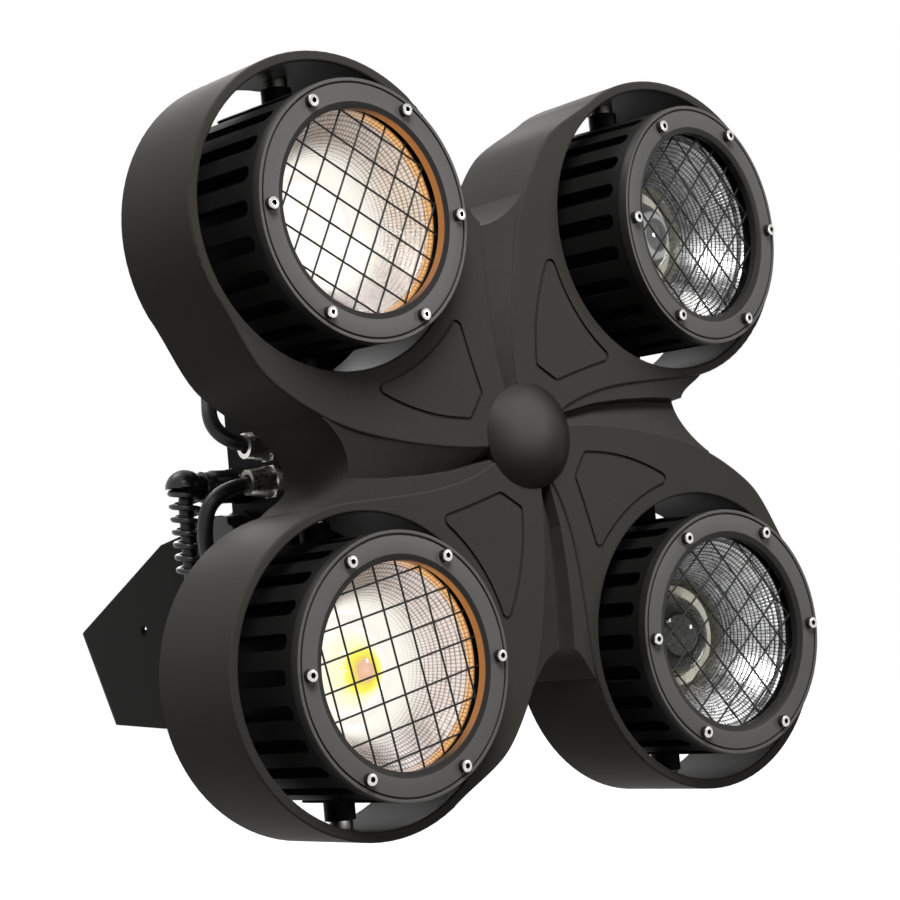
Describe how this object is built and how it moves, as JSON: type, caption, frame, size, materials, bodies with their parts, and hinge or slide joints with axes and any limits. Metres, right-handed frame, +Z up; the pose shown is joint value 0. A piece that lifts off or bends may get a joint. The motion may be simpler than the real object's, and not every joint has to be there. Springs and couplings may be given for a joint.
{
  "type": "led par light",
  "caption": "Blinder-type LED par light: cast clover housing with swivelling reflector heads, rear electronics case and tilting bracket",
  "frame": {"origin": "centre of the mounting hole in the yoke's bridge, on its outer face", "axes": "+X to the lamp's right as seen from behind, in front view to the right; +Y from the lit face to the rear; +Z up"},
  "size_m": [0.4428, 0.4038, 0.4428],
  "materials": {
    "cast_black": "matte",
    "cap_black": "satin",
    "bezel_black": "satin",
    "stainless": "satin",
    "guard_black": "matte",
    "clear_glass": "gloss",
    "mirror_reflector": "polished",
    "cob_yellow": "matte",
    "lens_glass": "gloss",
    "nickel": "polished",
    "yoke_black": "matte",
    "knob_black": "matte",
    "case_black": "matte",
    "panel_dark": "gloss",
    "button_grey": "satin",
    "lead_black": "satin",
    "gland_nylon": "satin",
    "supply_metal": "satin"
  },
  "bodies": {
    "mounting_yoke": {"yoke": "yoke_black"},
    "lamp_body": {"front_housing": "cast_black", "centre_cap": "cap_black", "head_pivot_bolts": "stainless", "rear_chassis": "cast_black", "electronics_case": "case_black", "case_lid": "case_black", "lid_screws": "stainless", "display_window": "panel_dark", "power_supply": "supply_metal", "case_glands": "nickel", "power_gland": "gland_nylon", "power_lead": "lead_black", "power_plug": "gland_nylon", "upper_left_lead": "lead_black", "upper_right_lead": "lead_black", "lower_left_lead": "lead_black", "lower_right_lead": "lead_black"},
    "upper_left_head": {"upper_left_head_casting": "cast_black", "upper_left_bezel": "bezel_black", "upper_left_bezel_screws": "stainless", "upper_left_wire_guard": "guard_black", "upper_left_front_glass": "clear_glass", "upper_left_reflector": "mirror_reflector", "upper_left_cob_module": "cob_yellow", "upper_left_cob_lens": "lens_glass", "upper_left_head_gland": "nickel"},
    "upper_right_head": {"upper_right_head_casting": "cast_black", "upper_right_bezel": "bezel_black", "upper_right_bezel_screws": "stainless", "upper_right_wire_guard": "guard_black", "upper_right_front_glass": "clear_glass", "upper_right_reflector": "mirror_reflector", "upper_right_cob_module": "cob_yellow", "upper_right_cob_lens": "lens_glass", "upper_right_head_gland": "nickel"},
    "lower_left_head": {"lower_left_head_casting": "cast_black", "lower_left_bezel": "bezel_black", "lower_left_bezel_screws": "stainless", "lower_left_wire_guard": "guard_black", "lower_left_front_glass": "clear_glass", "lower_left_reflector": "mirror_reflector", "lower_left_cob_module": "cob_yellow", "lower_left_cob_lens": "lens_glass", "lower_left_head_gland": "nickel"},
    "lower_right_head": {"lower_right_head_casting": "cast_black", "lower_right_bezel": "bezel_black", "lower_right_bezel_screws": "stainless", "lower_right_wire_guard": "guard_black", "lower_right_front_glass": "clear_glass", "lower_right_reflector": "mirror_reflector", "lower_right_cob_module": "cob_yellow", "lower_right_cob_lens": "lens_glass", "lower_right_head_gland": "nickel"},
    "tilt_knob_left_body": {"tilt_knob_left": "knob_black"},
    "tilt_knob_right_body": {"tilt_knob_right": "knob_black"},
    "button_1_body": {"menu_button_1": "button_grey"},
    "button_2_body": {"menu_button_2": "button_grey"},
    "button_3_body": {"menu_button_3": "button_grey"},
    "button_4_body": {"menu_button_4": "button_grey"}
  },
  "joints": [
    {"name": "lamp_tilt", "type": "hinge", "parent": "mounting_yoke", "child": "lamp_body", "pos_m": [0, -0.194, 0.07665], "axis": [1, 0, 0], "range_deg": [-38, 55]},
    {"name": "upper_left_swivel", "type": "hinge", "parent": "lamp_body", "child": "upper_left_head", "pos_m": [-0.126, -0.302, 0.24765], "axis": [0, 0, 1], "range_deg": [-12.9, 5.1], "deforming": ["upper_left_lead"]},
    {"name": "upper_right_swivel", "type": "hinge", "parent": "lamp_body", "child": "upper_right_head", "pos_m": [0.126, -0.302, 0.24765], "axis": [0, 0, 1], "range_deg": [-17.7, 0.3], "deforming": ["upper_right_lead"]},
    {"name": "lower_left_swivel", "type": "hinge", "parent": "lamp_body", "child": "lower_left_head", "pos_m": [-0.126, -0.302, -0.00435], "axis": [0, 0, 1], "range_deg": [-12, 6], "deforming": ["lower_left_lead"]},
    {"name": "lower_right_swivel", "type": "hinge", "parent": "lamp_body", "child": "lower_right_head", "pos_m": [0.126, -0.302, -0.00435], "axis": [0, 0, 1], "range_deg": [-10.2, 7.8], "deforming": ["lower_right_lead"]},
    {"name": "tilt_knob_left_turn", "type": "hinge", "parent": "lamp_body", "child": "tilt_knob_left_body", "pos_m": [-0.115, -0.194, 0.07665], "axis": [1, 0, 0], "continuous": true},
    {"name": "tilt_knob_right_turn", "type": "hinge", "parent": "lamp_body", "child": "tilt_knob_right_body", "pos_m": [0.115, -0.194, 0.07665], "axis": [1, 0, 0], "continuous": true},
    {"name": "button_1_press", "type": "slide", "parent": "lamp_body", "child": "button_1_body", "axis": [0, -1, 0], "range_m": [0, 0.0008], "stiffness_N_per_m": 400, "springref_m": -0.0008},
    {"name": "button_2_press", "type": "slide", "parent": "lamp_body", "child": "button_2_body", "axis": [0, -1, 0], "range_m": [0, 0.0008], "stiffness_N_per_m": 400, "springref_m": -0.0008},
    {"name": "button_3_press", "type": "slide", "parent": "lamp_body", "child": "button_3_body", "axis": [0, -1, 0], "range_m": [0, 0.0008], "stiffness_N_per_m": 400, "springref_m": -0.0008},
    {"name": "button_4_press", "type": "slide", "parent": "lamp_body", "child": "button_4_body", "axis": [0, -1, 0], "range_m": [0, 0.0008], "stiffness_N_per_m": 400, "springref_m": -0.0008}
  ]
}
